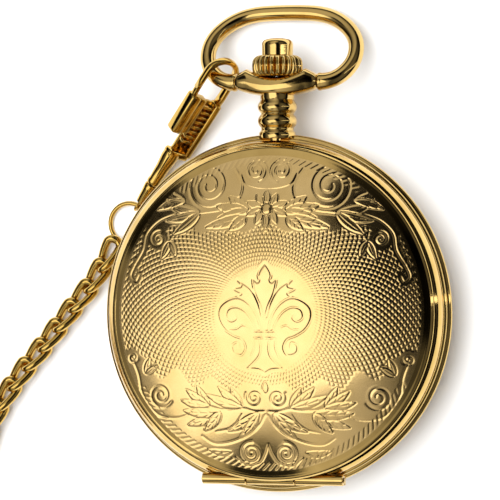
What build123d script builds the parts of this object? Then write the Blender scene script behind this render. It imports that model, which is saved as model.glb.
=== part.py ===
from build123d import *

import math
import os

os.makedirs("parts", exist_ok=True)

# A full-hunter pocket watch lying on its back, with its chain. Units are millimetres.
# Origin: centre of the flat land on the back cover. +Z points out of the front lid,
# +Y points at the crown (12 o'clock) and +X to 3 o'clock.

# ---- driving dimensions -------------------------------------------------------
CASE_R = 24.0  # widest ring of the middle case
PARTING_R = 23.15  # rim of the front lid and of the back cover
CREASE_R = 22.0  # where each rim roll meets its dome
MID_Z = 6.5  # middle plane of the case
PARTING_H = 1.35  # parting lines, above and below the middle plane
CREASE_H = 3.5  # creases, above and below the middle plane
APEX_H = 6.8  # top of the lid's dome above the middle plane
SHELL = 0.6  # wall of the lid and the back cover
LAND_R = 9.0  # flat land that the watch rests on

HINGE_Y, HINGE_Z = -22.2, 8.6  # axis of the lid hinge, along X
BARREL_R, PIN_R = 0.75, 0.32
HINGE_LEFT, HINGE_RIGHT = -9.8, 9.7
KNUCKLE_LEFT, KNUCKLE_RIGHT = -3.6, 3.0  # ends of the lid's own knuckle
HINGE_GAP = 0.08
LID_EDGE_Y = -21.25  # the lid's edge is cut straight here, in front of the barrels

PENDANT_Y = 23.4  # foot of the pendant
COLLAR_Y = 31.0  # pivot axis of the bow, along X
COLLAR_HALF = 5.6  # half width of the collar
BOW_TILT = 29.0  # the bow leans back until it meets the table
BOW_WIRE = 2.15
# corners of the right half of the bow's centre line, in its own plane, from the pivot axis
BOW_LINE = [(5.72, 0.0), (7.9, 0.0), (10.45, 3.1), (10.1, 7.3), (6.2, 10.7)]
BOW_TOP = (0.0, 11.1)

CLASP_ROLL = 55.0  # roll of the clasp about its own length
CLASP_SLOPE = 13.0  # the clasp slopes down from the bow to the table
CLASP_HEADING = 233.0  # direction of the clasp on the table, from +X
CLASP_HOOK = (-8.15, 32.05, 5.93)  # where the hook holds the bow
SLIDE_TRAVEL = 2.6
RING_R, RING_WIRE = 2.78, 0.65  # jump ring, mean radius and wire
EYE_AT = 22.5  # swivel eye, along the clasp from the hook
CHAIN_D = 3.2  # width of the curb chain
# centre line of the chain on the table, from the jump ring to the stored coil
CHAIN_ROUTE = [
    (-25.35, 7.85), (-27.0, 4.7), (-30.9, 0.1), (-34.9, -4.9), (-38.5, -9.1),
    (-41.6, -13.7), (-43.6, -18.4),
]
COIL_AT, COIL_R, COIL_HOLE_R = (-64.4, -21.0), 22.0, 11.2
T_BAR_HALF, T_BAR_Z = 8.6, 1.15  # half length and height of the T-bar in the coil
T_BAR_OFF = 1.5  # the bar beside its eye
T_BAR_RING = 2.1  # mean radius of the ring in the T-bar's eye

PLATE_R = 18.6
PLATE_LOW, PLATE_TOP = 5.2, 6.9
BRIDGE_LOW, BRIDGE_TOP = 2.9, 3.8
SCREW_LOW = 2.8  # slotted ends of the bridge screws
DIAL_LOW, DIAL_TOP, DIAL_R = 7.4, 7.75, 19.1

# wheel centres of the movement
CENTER = (0.0, 0.0)
BARREL = (-3.0, 7.85)
THIRD = (5.27, -4.91)
FOURTH = (0.0, -8.5)
ESCAPE = (-4.9, -10.467)
PALLET = (-6.75, -7.98)
BALANCE = (-10.8, -2.5)
MINUTE_WHEEL = (3.0, 0.0)
CROWN_WHEEL = (4.4, 10.31)
STEM_R = 0.5


def keep(name, shape):
    """Write one node."""
    export_step(shape, f"parts/{name}.step")


def turned(*edges):
    """Solid of revolution about Z. An edge is 2 points of (radius, height), or 3 for an arc."""
    lines = [Line(*e) if len(e) == 2 else ThreePointArc(*e) for e in edges]
    return revolve(Plane.XZ * make_face(lines), axis=Axis.Z)


def turned_path(*points):
    """Solid of revolution about Z of a straight-sided outline."""
    return turned(*zip(points, points[1:] + points[:1]))


def disc(radius, low, high, at=CENTER):
    return Pos(at[0], at[1], (low + high) / 2) * Cylinder(radius, high - low)


def tube(outer, inner, low, high, at=CENTER):
    return disc(outer, low, high, at) - disc(inner, low - 1, high + 1, at)


def block(low, high):
    middle = [(a + b) / 2 for a, b in zip(low, high)]
    return Pos(*middle) * Box(*[b - a for a, b in zip(low, high)])


def across(radius, x_low, x_high, y=HINGE_Y, z=HINGE_Z):
    """Cylinder along X."""
    return Pos((x_low + x_high) / 2, y, z) * Rot(0, 90, 0) * Cylinder(radius, x_high - x_low)


def upward(radius, y_low, y_high, x=0.0, z=MID_Z):
    """Cylinder along Y."""
    return Pos(x, (y_low + y_high) / 2, z) * Rot(90, 0, 0) * Cylinder(radius, y_high - y_low)


def prism(points, low, high):
    return Pos(0, 0, low) * extrude(make_face(Polyline(*points, close=True)), high - low)


def polar(radius, degrees, at=CENTER):
    angle = math.radians(degrees)
    return (at[0] + radius * math.cos(angle), at[1] + radius * math.sin(angle))


def cap_mid(r_a, r_b, apex, crease_r, crease_z):
    """Height on the sphere through the apex and the crease, halfway between two radii."""
    drop = apex - crease_z
    sphere = (crease_r**2 + drop**2) / (2 * drop)
    r = (r_a + r_b) / 2
    return (r, apex - sphere + math.sqrt(sphere**2 - r**2))


# ---- case ----------------------------------------------------------------------
def dome_shell(flat_r):
    """The lid's shell, rim down. With flat_r the dome is cut to a flat land there."""
    apex, crease, edge = MID_Z + APEX_H, MID_Z + CREASE_H, MID_Z + PARTING_H
    inner_r, inner_crease = CREASE_R - SHELL, crease - 0.55
    top = MID_Z + 6.5 if flat_r else apex
    start = (flat_r, top) if flat_r else (0, apex)
    outer_mid = cap_mid(flat_r, CREASE_R, apex, CREASE_R, crease)
    if flat_r:
        rise = top - crease
        outer_mid = ((flat_r + CREASE_R) / 2, crease + rise * 0.63)
    under = (start[0], start[1] - SHELL)
    inner_mid = (outer_mid[0] - 0.05, outer_mid[1] - SHELL)
    edges = [
        (start, outer_mid, (CREASE_R, crease)),
        ((CREASE_R, crease), (CREASE_R + 0.85, crease - 0.75), (PARTING_R, edge)),
        ((PARTING_R, edge), (PARTING_R - SHELL, edge)),
        ((PARTING_R - SHELL, edge), (PARTING_R - 0.8, edge + 1.1), (inner_r, inner_crease)),
        ((inner_r, inner_crease), inner_mid, under),
    ]
    if flat_r:
        edges += [(under, (0, under[1])), ((0, under[1]), (0, top)), ((0, top), start)]
    else:
        edges += [(under, start)]
    return turned(*edges)


def front_lid():
    """Lid with its hinge knuckle. Its edge is cut back where the barrels lie."""
    lid = dome_shell(0)
    lid -= block((HINGE_LEFT - 0.3, -30, 0), (HINGE_RIGHT + 0.5, LID_EDGE_Y, 20))
    middle = (KNUCKLE_LEFT + HINGE_GAP, KNUCKLE_RIGHT - HINGE_GAP)
    lid += block((middle[0], HINGE_Y, HINGE_Z + 0.25), (middle[1], LID_EDGE_Y, HINGE_Z + 1.25))
    lid += across(BARREL_R, *middle)
    return lid - across(PIN_R + 0.04, HINGE_LEFT, HINGE_RIGHT)


def mid_case():
    low, high = MID_Z - PARTING_H + 0.1, MID_Z + PARTING_H - 0.1
    band = turned(
        ((PARTING_R, high), (CASE_R - 0.15, MID_Z + 0.75), (CASE_R, MID_Z + 0.4)),
        ((CASE_R, MID_Z + 0.4), (CASE_R, MID_Z - 0.4)),
        ((CASE_R, MID_Z - 0.4), (CASE_R - 0.15, MID_Z - 0.75), (PARTING_R, low)),
        ((PARTING_R, low), (22.2, low)),
        ((22.2, low), (22.2, 4.2)),
        ((22.2, 4.2), (20.9, 4.2)),
        ((20.9, 4.2), (20.9, PLATE_LOW)),
        ((20.9, PLATE_LOW), (18.7, PLATE_LOW)),
        ((18.7, PLATE_LOW), (18.7, DIAL_LOW)),
        ((18.7, DIAL_LOW), (19.2, DIAL_LOW)),
        ((19.2, DIAL_LOW), (19.2, high)),
        ((19.2, high), (21.75, high)),
        ((21.75, high), (21.75, HINGE_Z)),
        ((21.75, HINGE_Z), (22.2, HINGE_Z)),
        ((22.2, HINGE_Z), (22.2, high)),
        ((22.2, high), (PARTING_R, high)),
    )
    ends = (HINGE_LEFT - 0.3, HINGE_RIGHT + 0.5)
    band -= block((ends[0], -30, high), (ends[1], -21.2, 12))
    band -= across(BARREL_R + 0.5, *ends)
    for a, b in ((HINGE_LEFT, KNUCKLE_LEFT), (KNUCKLE_RIGHT, HINGE_RIGHT)):
        web = block((a, HINGE_Y - 0.45, high - 0.9), (b, HINGE_Y + 0.45, HINGE_Z))
        band += web + across(BARREL_R, a, b)
    band -= across(PIN_R, ends[0], ends[1])
    band -= block((-2.75, 20, 8.1), (-1.45, 23, 9))
    band -= upward(2.5, PENDANT_Y, 30)
    band -= upward(1.3, 21.0, 30)
    band -= upward(0.9, 15.0, 30)
    return band


def dust_cover():
    """Thin inner back, snapped inside the back cover."""
    return turned_path(
        (0, 0.85), (10, 0.9), (14, 1.55), (18, 2.53), (18.7, 2.62), (20.6, 3.85),
        (20.6, 4.15), (18.7, 2.8), (18, 2.68), (14, 1.75), (10, 1.1), (0, 1.05),
    )


def pendant():
    """Neck with two beads, turned about Y, spigotted into the middle case."""
    y0, spigot = PENDANT_Y, 1.28
    neck = turned(
        ((0.9, 21.6), (spigot, 21.6)),
        ((spigot, 21.6), (spigot, y0)),
        ((spigot, y0), (2.45, y0)),
        ((2.45, y0), (2.45, 24.3)),
        ((2.45, 24.3), (2.25, 24.8)),
        ((2.25, 24.8), (2.6, 25.7), (2.25, 26.7)),
        ((2.25, 26.7), (2.6, 27.7), (2.3, 28.7)),
        ((2.3, 28.7), (2.3, 29.6)),
        ((2.3, 29.6), (0.9, 29.6)),
        ((0.9, 29.6), (0.9, 21.6)),
    )
    return Pos(0, 0, MID_Z) * Rot(-90, 0, 0) * neck


def bow_collar():
    """Boat-shaped collar with a saddle for the crown and a hole for the bow each side."""
    w = COLLAR_HALF
    edges = [
        Line((-w, 30.0), (-w, 32.0)),
        Line((-w, 32.0), (-4.1, 32.8)),
        ThreePointArc((-4.1, 32.8), (0, 31.3), (4.1, 32.8)),
        Line((4.1, 32.8), (w, 32.0)),
        Line((w, 32.0), (w, 30.0)),
        ThreePointArc((w, 30.0), (4.2, 29.55), (2.4, 29.3)),
        Line((2.4, 29.3), (-2.4, 29.3)),
        ThreePointArc((-2.4, 29.3), (-4.2, 29.55), (-w, 30.0)),
    ]
    boat = Pos(0, 0, MID_Z - 3) * extrude(make_face(edges), 6)
    side = Pos(0, COLLAR_Y, MID_Z) * Rot(0, 90, 0) * extrude(Ellipse(2.6, 2.4), w, both=True)
    collar = boat & side
    collar -= upward(2.3, 20, 29.6)
    collar -= upward(0.9, 29, 40)
    collar -= across(0.8, -w - 1, -3.6, COLLAR_Y, MID_Z)
    return collar - across(0.8, 3.6, w + 1, COLLAR_Y, MID_Z)


def seat(shape):
    """Turn a shape of the bow's own plane into place about the pivot axis."""
    return Pos(0, COLLAR_Y, MID_Z) * Rot(-BOW_TILT, 0, 0) * shape


def arc_path(points):
    """Straight runs joined by tangent arcs as large as the runs allow, and the radii."""
    radii = []
    for a, b, c in zip(points, points[1:], points[2:]):
        run = min((b - a).length, (c - b).length)
        turn = math.radians((b - a).get_angle(c - b))
        radii.append(0.45 * run / math.tan(turn / 2))
    return FilletPolyline(*points, radius=radii), radii


def bow():
    """Oval loop of round wire with a pivot pin at each end."""
    left = [(-x, y) for x, y in BOW_LINE]
    path, _ = arc_path([Vector(*p) for p in BOW_LINE + [BOW_TOP] + left[::-1]])
    start = Plane(origin=path @ 0, z_dir=path % 0)
    wire = sweep(start * Circle(BOW_WIRE / 2), path)
    end = BOW_LINE[0][0]
    for side in (-1, 1):
        wire += Pos(side * (end - 0.8), 0, 0) * Rot(0, 90, 0) * Cylinder(0.7, 1.8)
    return seat(wire)


# ---- crown ---------------------------------------------------------------------
def crown():
    """Onion crown: a fluted band over a bowl, bored for the push button."""
    bowl = turned(
        ((STEM_R, 31.75), (1.6, 31.75)),
        ((1.6, 31.75), (2.95, 32.35), (3.3, 33.15)),
        ((3.3, 33.15), (3.4, 34.1)),
        ((3.4, 34.1), (3.0, 34.6)),
        ((3.0, 34.6), (2.25, 34.6)),
        ((2.25, 34.6), (2.25, 33.2)),
        ((2.25, 33.2), (STEM_R, 33.2)),
        ((STEM_R, 33.2), (STEM_R, 31.75)),
    )
    for i in range(24):
        groove = Pos(*polar(3.55, i * 15), 33.9) * Rot(0, 0, i * 15) * Rot(0, -8, 0)
        bowl -= groove * Cylinder(0.22, 2.6)
    return Pos(0, 0, MID_Z) * Rot(-90, 0, 0) * bowl


def push_button():
    body = turned(
        ((0, 33.9), (2.15, 33.9)),
        ((2.15, 33.9), (2.15, 36.5)),
        ((2.15, 36.5), (1.85, 36.8)),
        ((1.85, 36.8), (0, 36.9)),
        ((0, 36.9), (0, 33.9)),
    )
    return Pos(0, 0, MID_Z) * Rot(-90, 0, 0) * body


def flat_star(teeth, radius, depth, y_low, y_high):
    """Toothed wheel on the stem, about Y."""
    ring = [
        polar(radius - depth * (i % 2), (i + 0.5) * 180 / teeth) for i in range(2 * teeth)
    ]
    star = prism(ring, y_low, y_high) - disc(STEM_R + 0.04, y_low - 1, y_high + 1)
    return Pos(0, 0, MID_Z) * Rot(-90, 0, 0) * star


# ---- clasp, ring and chain -------------------------------------------------------
def clasp_frame():
    """Plane of the clasp: x runs down its length, y towards its right and lower edge."""
    heading, slope = math.radians(CLASP_HEADING), math.radians(CLASP_SLOPE)
    reach = math.cos(slope)
    along = Vector(math.cos(heading) * reach, math.sin(heading) * reach, -math.sin(slope))
    aside = Vector(0, 0, 1).cross(along).normalized()
    roll = math.radians(CLASP_ROLL)
    rolled = aside * math.cos(roll) - along.cross(aside) * math.sin(roll)
    return Plane(origin=CLASP_HOOK, x_dir=along, z_dir=along.cross(rolled))


def bar(x_low, x_high, y_low, y_high, thick):
    return block((x_low, y_low, -thick / 2), (x_high, y_high, thick / 2))


def rod(radius_a, radius_b, x_low, x_high, y):
    """Round rod along the clasp, tapering from one radius to the other."""
    shape = turned_path((0, 0), (radius_a, 0), (radius_b, x_high - x_low), (0, x_high - x_low))
    return Pos(x_low, y, 0) * Rot(0, 90, 0) * shape


HOOK_IN, HOOK_OUT, HOOK_THICK = 1.85, 2.6, 1.0
SHANK_Y = 0.1


def clasp_body():
    """Hook round the bow, flat back bar, frame and shank."""
    hook = Cylinder(HOOK_OUT, HOOK_THICK) - Cylinder(HOOK_IN, 3)
    hook &= block((-4, -4, -1), (0, 4, 1))
    hook += bar(0, 4.6, HOOK_IN, HOOK_OUT, HOOK_THICK)
    hook += bar(0, 2.6, -HOOK_OUT, -HOOK_IN, HOOK_THICK)
    frame = bar(4.4, 13.4, 0.75, HOOK_OUT, 1.7) + bar(12.6, 13.6, -0.9, HOOK_OUT, 1.7)
    shank = rod(0.95, 0.8, 13.6, 18.6, SHANK_Y)
    return clasp_frame() * (hook + frame + shank)


def clasp_slide():
    """Sprung sleeve with a ribbed thumb face and the bolt that closes the hook."""
    sleeve = bar(3.6, 9.8, -2.6, 0.6, 1.9) + bar(2.75, 3.6, -HOOK_OUT, -HOOK_IN, HOOK_THICK)
    for i in range(5):
        sleeve -= Pos(4.5 + i * 1.1, 0.0, 0.95) * Box(0.45, 1.2, 0.5)
    return clasp_frame() * sleeve


def swivel_eye():
    """Swivel barrel with a lug whose hole takes the jump ring."""
    frame = clasp_frame()
    barrel = frame * rod(0.85, 0.7, 18.75, 21.9, SHANK_Y)
    lug = Cylinder(0.85, 0.8) - Cylinder(0.5, 2)
    barrel -= eye_place() * Cylinder(0.5, 2)
    return barrel + eye_place() * lug


def eye_place():
    """The eye's hole runs level, across the clasp."""
    frame = clasp_frame()
    origin = frame.from_local_coords(Vector(EYE_AT, SHANK_Y, 0))
    aside = Vector(0, 0, 1).cross(frame.x_dir).normalized()
    return Plane(origin=origin, x_dir=frame.x_dir, z_dir=aside)


def jump_ring():
    """Ring that hangs from the eye and lies on the table at its far side."""
    eye = eye_place().origin
    heading = math.radians(CLASP_HEADING + 8)
    drop = eye.Z - RING_WIRE / 2 - 0.02
    fall = math.asin(drop / (2 * RING_R))
    out = Vector(
        math.cos(heading) * math.cos(fall), math.sin(heading) * math.cos(fall), -math.sin(fall)
    )
    aside = Vector(0, 0, 1).cross(out).normalized()
    plane = Plane(origin=eye + out * RING_R, x_dir=out, z_dir=out.cross(aside))
    return plane * Torus(RING_R, RING_WIRE / 2)


def chain_run():
    """Plain tube along the chain's route, with tangent arcs as large as its runs allow."""
    path, radii = arc_path([Vector(x, y, CHAIN_D / 2) for x, y in CHAIN_ROUTE])
    print("chain radii", [round(r, 1) for r in radii])
    start = Plane(origin=path @ 0, z_dir=path % 0)
    shape = sweep(start * Circle(CHAIN_D / 2), path)
    print("chain tube", round(path.length, 2), round(shape.volume / path.length, 3))
    return shape - disc(COIL_R, -1, 5, COIL_AT)


def chain_coil():
    """Outer shape of the stored length, its turns side by side on the table."""
    return tube(COIL_R, COIL_HOLE_R, 0, CHAIN_D + 0.1, COIL_AT)


def t_bar():
    """Buttonhole bar with ball ends and an eye, lying inside the coil."""
    x, y = COIL_AT
    half = T_BAR_HALF
    bar_part = across(0.85, x - half, x + half, y + T_BAR_OFF, T_BAR_Z)
    for end in (-half, half):
        bar_part += Pos(x + end, y + T_BAR_OFF, T_BAR_Z) * Sphere(T_BAR_Z - 0.02)
    eye = across(1.1, x - 0.5, x + 0.5, y, T_BAR_Z) - across(0.55, x - 1, x + 1, y, T_BAR_Z)
    return bar_part + eye


def t_bar_ring():
    return Pos(COIL_AT[0], COIL_AT[1] - T_BAR_RING, T_BAR_Z) * Torus(T_BAR_RING, 0.35)


# ---- dial side -------------------------------------------------------------------
def crystal_bezel():
    low = MID_Z + PARTING_H - 0.1
    return turned_path(
        (18.9, low), (21.0, low), (20.9, 9.2), (20.6, 9.5), (20.2, 9.5),
        (20.2, 8.7), (18.9, 8.7),
    )


def crystal():
    edge, apex, r = 9.2, 9.95, 20.18
    return turned(
        ((0, 8.74), (r, 8.74)),
        ((r, 8.74), (r, edge)),
        ((r, edge), cap_mid(0, r, apex, r, edge), (0, apex)),
        ((0, apex), (0, 8.74)),
    )


def dial():
    face = disc(DIAL_R, DIAL_LOW, DIAL_TOP) - disc(1.35, 7, 8)
    face -= disc(5.2, DIAL_TOP - 0.12, 9, FOURTH)
    return face - disc(0.45, 7, 8, FOURTH)


def dial_markers():
    """Applied hour batons. The one at 6 is left out for the seconds dial."""
    markers = []
    for hour in range(12):
        if hour == 6:
            continue
        double = hour % 3 == 0
        baton = Box(1.1 if double else 0.7, 3.4, 0.25)
        markers.append(Rot(0, 0, -30 * hour) * Pos(0, 15.9, DIAL_TOP + 0.125) * baton)
    return Compound(children=markers)


def hand(length, tail, width, low, high, hub, at=CENTER, turn=0.0):
    """Leaf-shaped hand pointing to 12 before it is turned clockwise."""
    blade = prism(
        [(-width / 5, -tail), (width / 5, -tail), (width / 2, length * 0.6), (0, length),
         (-width / 2, length * 0.6)], low, high,
    )
    blade += prism([polar(hub, 30 * i) for i in range(12)], low, high)
    return Pos(at[0], at[1], 0) * Rot(0, 0, -turn) * blade


# ---- wheels ----------------------------------------------------------------------
def toothed(teeth, module, low, high, at, turn=0.0):
    """Flat-sided toothed wheel, one tooth on +X before it is turned."""
    pitch_r = teeth * module / 2
    tip, root = pitch_r + 0.72 * module, pitch_r - 1.0 * module
    step = 360 / teeth
    points = []
    for i in range(teeth):
        for radius, share in ((root, -0.24), (tip, -0.08), (tip, 0.08), (root, 0.24)):
            points.append(polar(radius, turn + (i + share) * step))
    return Pos(at[0], at[1], 0) * prism(points, low, high)


def round_bar(radius, low, high, at):
    """Arbor with twelve flats."""
    return Pos(at[0], at[1], 0) * prism([polar(radius, 30 * i) for i in range(12)], low, high)


def spoked(wheel, rim, hub, spokes, at, low, high):
    """Cut the windows between the spokes of a wheel."""
    for i in range(spokes):
        first, last = 360 / spokes * i + 9, 360 / spokes * (i + 1) - 9
        steps = [first + (last - first) * k / 6 for k in range(7)]
        window = [polar(rim, a) for a in steps]
        window += [polar(hub, a) for a in (last, (first + last) / 2, first)]
        wheel -= Pos(at[0], at[1], 0) * prism(window, low - 1, high + 1)
    return wheel


def facing(at, other):
    return math.degrees(math.atan2(other[1] - at[1], other[0] - at[0]))


def gear_train():
    """Every wheel of the movement by its node name."""
    parts = {}
    to_third = facing(CENTER, THIRD)
    wheel = toothed(80, 0.16, 3.95, 4.15, CENTER, to_third)
    parts["center_wheel"] = spoked(wheel, 5.6, 1.3, 5, CENTER, 3.95, 4.15)
    parts["center_wheel"] -= round_bar(0.4, 3, 5, CENTER)
    pinion = toothed(12, 0.2, 4.4, 5.15, CENTER, facing(CENTER, BARREL) + 15)
    parts["center_arbor"] = pinion + round_bar(0.4, 3.0, 8.6, CENTER)
    cannon = toothed(12, 0.125, 6.97, 7.12, CENTER) + round_bar(0.62, 6.95, 8.4, CENTER)
    parts["cannon_pinion"] = cannon - round_bar(0.4, 6, 9, CENTER)

    barrel = toothed(72, 0.2, 4.45, 5.1, BARREL, facing(BARREL, CENTER))
    barrel -= round_bar(6.3, 4.6, 6, BARREL) + round_bar(0.85, 4, 6, BARREL)
    parts["barrel_drum"] = barrel
    arbor = round_bar(0.8, 2.5, 5.6, BARREL) + round_bar(1.3, 4.7, 5.0, BARREL)
    parts["barrel_arbor"] = arbor
    ratchet = toothed(48, 0.2, 2.56, 2.84, BARREL, facing(BARREL, CROWN_WHEEL))
    parts["ratchet_wheel"] = ratchet - round_bar(0.8, 2, 3, BARREL)
    crown_wheel = toothed(30, 0.2, 2.56, 2.84, CROWN_WHEEL, facing(CROWN_WHEEL, BARREL) + 6)
    parts["crown_wheel"] = crown_wheel + round_bar(0.5, 2.56, 3.6, CROWN_WHEEL)

    third = toothed(10, 0.16, 3.88, 4.22, THIRD, facing(THIRD, CENTER) + 18)
    third += round_bar(0.3, 3.2, 5.9, THIRD)
    wheel = toothed(75, 0.15, 4.5, 4.68, THIRD, facing(THIRD, FOURTH))
    parts["third_wheel"] = third + spoked(wheel, 4.9, 0.9, 4, THIRD, 4.5, 4.68)

    fourth = toothed(10, 0.15, 4.42, 4.76, FOURTH, facing(FOURTH, THIRD) + 18)
    fourth += round_bar(0.25, 3.2, 8.2, FOURTH)
    wheel = toothed(80, 0.12, 4.93, 5.08, FOURTH, facing(FOURTH, ESCAPE))
    parts["fourth_wheel"] = fourth + spoked(wheel, 4.2, 0.9, 4, FOURTH, 4.93, 5.08)

    escape = toothed(8, 0.12, 4.86, 5.14, ESCAPE, facing(ESCAPE, FOURTH) + 22.5)
    escape += round_bar(0.2, 3.2, 5.9, ESCAPE)
    parts["escape_wheel"] = escape + club_wheel()

    parts["minute_wheel"] = toothed(36, 0.125, 6.97, 7.12, MINUTE_WHEEL, 180 + 5)
    parts["minute_wheel"] += toothed(10, 0.12, 7.12, 7.34, MINUTE_WHEEL, 180)
    parts["minute_wheel"] -= round_bar(0.25, 6, 8, MINUTE_WHEEL)
    hour = toothed(40, 0.12, 7.18, 7.32, CENTER, 4.5) + round_bar(1.1, 7.18, 8.1, CENTER)
    parts["hour_wheel"] = hour - round_bar(0.72, 6, 9, CENTER)
    return parts


def club_wheel():
    """Escape wheel with fifteen slanted club teeth."""
    points = []
    for i in range(15):
        start = 24 * i
        points += [polar(1.95, start), polar(2.5, start + 7), polar(2.58, start + 11)]
        points += [polar(1.95, start + 9)]
    wheel = Pos(ESCAPE[0], ESCAPE[1], 0) * prism(points, 4.5, 4.66)
    return spoked(wheel, 1.6, 0.5, 4, ESCAPE, 4.5, 4.66)


def pallet_fork():
    """Lever with two pallets that stand just clear of the escape wheel."""
    toward = facing(PALLET, BALANCE)
    lever = prism([(-0.3, -0.28), (5.1, -0.16), (5.1, 0.16), (-0.3, 0.28)], 4.5, 4.66)
    for side in (-1, 1):
        lever += prism([(0.1, 0), (-0.75, side * 1.5), (-0.35, side * 1.6), (0.5, 0)], 4.5, 4.66)
        horn = [(5.0, 0.1 * side), (5.6, 0.28 * side), (5.5, 0.48 * side), (4.9, 0.14 * side)]
        lever += prism(horn, 4.5, 4.66)
    lever += prism([polar(0.2, 30 * i) for i in range(12)], 3.2, 5.9)
    return Pos(PALLET[0], PALLET[1], 0) * Rot(0, 0, toward) * lever


def balance_wheel():
    rim = tube(4.3, 3.85, 3.98, 4.32, BALANCE)
    x, y = BALANCE
    return rim + (block((x - 4, y - 0.3, 4.05), (x + 4, y + 0.3, 4.25)) - round_bar(
        0.25, 4, 5, BALANCE))


def balance_staff():
    return round_bar(0.25, 3.1, 6.0, BALANCE) + round_bar(0.6, 4.8, 5.0, BALANCE)


def spiral(inner, outer, turns, width, low, high, at):
    """Flat spiral ribbon of straight facets."""
    count = int(turns * 20)
    edges = []
    for half in (-width / 2, width / 2):
        side = []
        for i in range(count + 1):
            radius = inner + (outer - inner) * i / count + half
            side.append(polar(radius, 18 * i, at))
        edges.append(side)
    return prism(edges[0] + edges[1][::-1], low, high)


# ---- plate and bridges -------------------------------------------------------------
def main_plate():
    """Bottom plate with its sinks, the stem channel and the pivot holes."""
    plate = disc(PLATE_R, PLATE_LOW, PLATE_TOP)
    plate -= disc(7.6, 5.0, 5.75, BARREL)
    plate -= upward(0.75, 9.0, 20) + block((-0.75, 9, MID_Z), (0.75, 20, 8))
    plate -= upward(1.0, 10.6, 16.3) + block((-1.0, 10.6, MID_Z), (1.0, 16.3, 8))
    plate -= disc(0.7, 5, 8)
    for at in (THIRD, FOURTH, ESCAPE, PALLET, BALANCE):
        plate -= disc(0.85, 5, 8, at)
    return plate - disc(0.95, 5, 8, BARREL)


def arm(points, foot_points, holes):
    """Bridge: a flat arm with feet that stand on the plate, and its pivot holes."""
    bridge = prism(points, BRIDGE_LOW, BRIDGE_TOP)
    for at, radius in foot_points:
        bridge += disc(radius, BRIDGE_TOP, PLATE_LOW, at)
    for at, radius in holes:
        bridge -= disc(radius, 0, PLATE_LOW, at)
    return bridge


BARREL_FEET = (((-12.6, 9.8), 1.5), ((8.9, 14.2), 1.5), ((-15.9, 3.4), 1.2))
TRAIN_FEET = (((13.4, -1.6), 1.5), ((10.4, -12.4), 1.5), ((2.0, -16.3), 1.3))
COCK_FEET = (((-16.0, -6.6), 1.7),)
PALLET_FEET = (((-10.4, -12.9), 1.1),)
JEWEL_HOLES = (
    (CENTER, 0.85), (THIRD, 0.75), (FOURTH, 0.75), (ESCAPE, 0.75), (PALLET, 0.75),
    (BALANCE, 0.75),
)
SCREW_R = 0.75


def barrel_bridge():
    outline = [polar(17.2, a) for a in range(34, 176, 10)]
    outline += [(-16.6, 2.3), (-9.5, 1.9), (8.0, 3.6)]
    holes = [(BARREL, 0.9), (CROWN_WHEEL, 0.6)] + [(at, SCREW_R) for at, _ in BARREL_FEET]
    return arm(outline, BARREL_FEET, holes)


def train_bridge():
    outline = [polar(17.0, a) for a in range(-86, 12, 10)]
    outline += [(9.0, 1.6), (0, 2.0), (-2.2, -1.0), (-2.2, -9.0), (-0.6, -12.0)]
    holes = [(at, 0.75) for at in (CENTER, THIRD, FOURTH)]
    return arm(outline, TRAIN_FEET, holes + [(at, SCREW_R) for at, _ in TRAIN_FEET])


def balance_cock():
    outline = [(-9.4, -3.6), (-9.3, -1.4), (-12.0, -1.0), (-17.4, -4.6), (-16.4, -8.6),
               (-14.0, -7.9)]
    return arm(outline, COCK_FEET, [(BALANCE, 0.75), (COCK_FEET[0][0], SCREW_R)])


def pallet_bridge():
    outline = [(-3.7, -9.4), (-3.9, -11.8), (-10.2, -14.2), (-11.6, -12.4), (-7.9, -6.9),
               (-6.0, -7.0)]
    holes = [(ESCAPE, 0.75), (PALLET, 0.75), (PALLET_FEET[0][0], SCREW_R)]
    return arm(outline, PALLET_FEET, holes)


def jewels():
    """Pierced jewels, pressed into the bridges and into the plate."""
    stones = []
    for at in (THIRD, FOURTH, ESCAPE, PALLET, BALANCE):
        stones.append(tube(0.75, 0.34, 3.1, 3.7, at))
        if at != FOURTH:
            stones.append(tube(0.85, 0.34, 5.3, 5.9, at))
    stones.append(tube(0.75, 0.45, 3.1, 3.7, CENTER))
    return Compound(children=stones)


def movement_screws():
    """Slotted screws through every foot of the bridges into the plate."""
    screws = []
    for at, _ in BARREL_FEET + TRAIN_FEET + COCK_FEET + PALLET_FEET:
        screw = disc(SCREW_R, SCREW_LOW, PLATE_LOW, at)
        screw -= Pos(at[0], at[1], SCREW_LOW) * Box(0.22, 3, 0.2)
        screws.append(screw)
    return Compound(children=screws)


def click():
    """Pawl that stops the ratchet wheel running back."""
    shape = prism([(-9.6, 11.9), (-7.2, 11.7), (-6.9, 12.2), (-9.2, 13.0)], 2.56, 2.84)
    return shape + disc(0.4, 2.5, 2.9, (-9.1, 12.4))


def click_spring():
    line = [(-10.2, 12.9), (-8.0, 13.9), (-5.5, 14.2), (-5.5, 14.4), (-8.1, 14.1), (-10.4, 13.1)]
    return prism(line, 2.62, 2.84)


def lid_spring():
    """Flat curved spring in the rim that lifts the lid."""
    arc = [polar(21.6, a) for a in range(185, 230, 4)]
    arc += [polar(21.2, a) for a in range(229, 184, -4)]
    return prism(arc, 7.76, 8.5)


def lid_catch():
    """Flat spring at 12 with the nose that holds the lid shut."""
    arc = [polar(21.6, a) for a in range(96, 141, 4)]
    arc += [polar(21.2, a) for a in range(140, 95, -4)]
    nose = block((-2.6, 21.2, 8.3), (-1.6, 22.1, 8.75))
    return prism(arc, 7.76, 8.75) + nose


def stem_sleeve():
    """Split sleeve in the pendant that holds the stem pulled out or pushed in."""
    return upward(0.85, 24.5, 28.6) - upward(0.58, 24, 29)


def winding_stem():
    return upward(STEM_R, 10.2, 33.0)


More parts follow.
